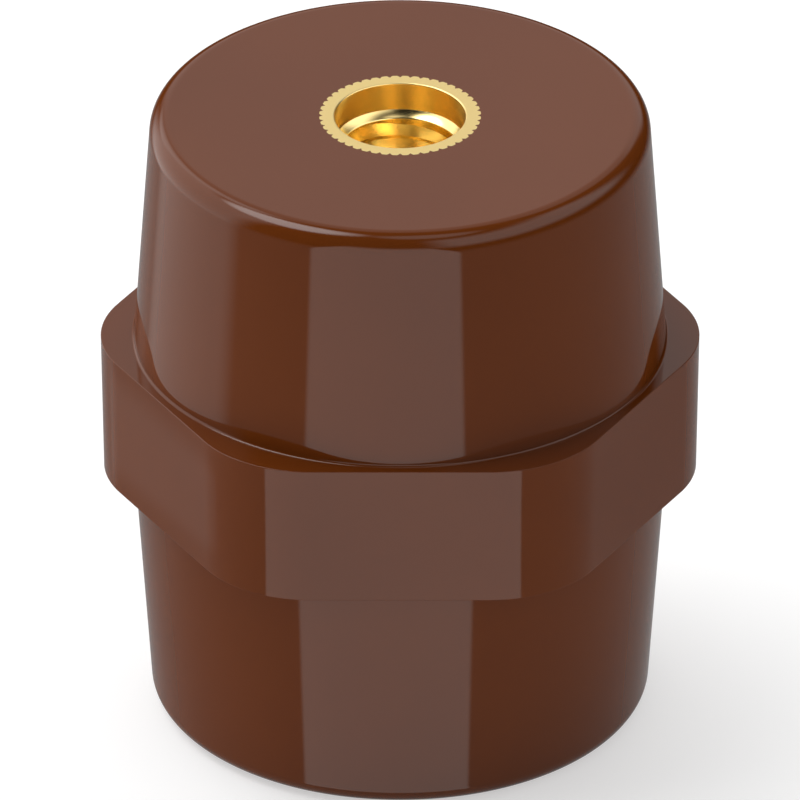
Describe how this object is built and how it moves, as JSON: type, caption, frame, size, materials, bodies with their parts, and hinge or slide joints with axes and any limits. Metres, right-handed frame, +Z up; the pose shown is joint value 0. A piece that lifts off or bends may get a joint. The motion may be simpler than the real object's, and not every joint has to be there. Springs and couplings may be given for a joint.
{
  "type": "support insulator",
  "caption": "Moulded stand-off insulator: two drafted cones with a rounded hexagonal belt, and a knurled brass insert with a blind tapped hole in each end.",
  "frame": {"origin": "centre of the bottom end face, which it stands on", "axes": "+Z up along the insulator's axis, towards the top insert; two of the belt's flats face +Y and -Y"},
  "size_m": [0.055, 0.0506, 0.06],
  "materials": {
    "moulding": "glossy red-brown thermoset moulding",
    "brass": "bright turned brass"
  },
  "bodies": {
    "root": {"insulator_body": "moulding", "top_insert": "brass", "bottom_insert": "brass"}
  },
  "joints": []
}
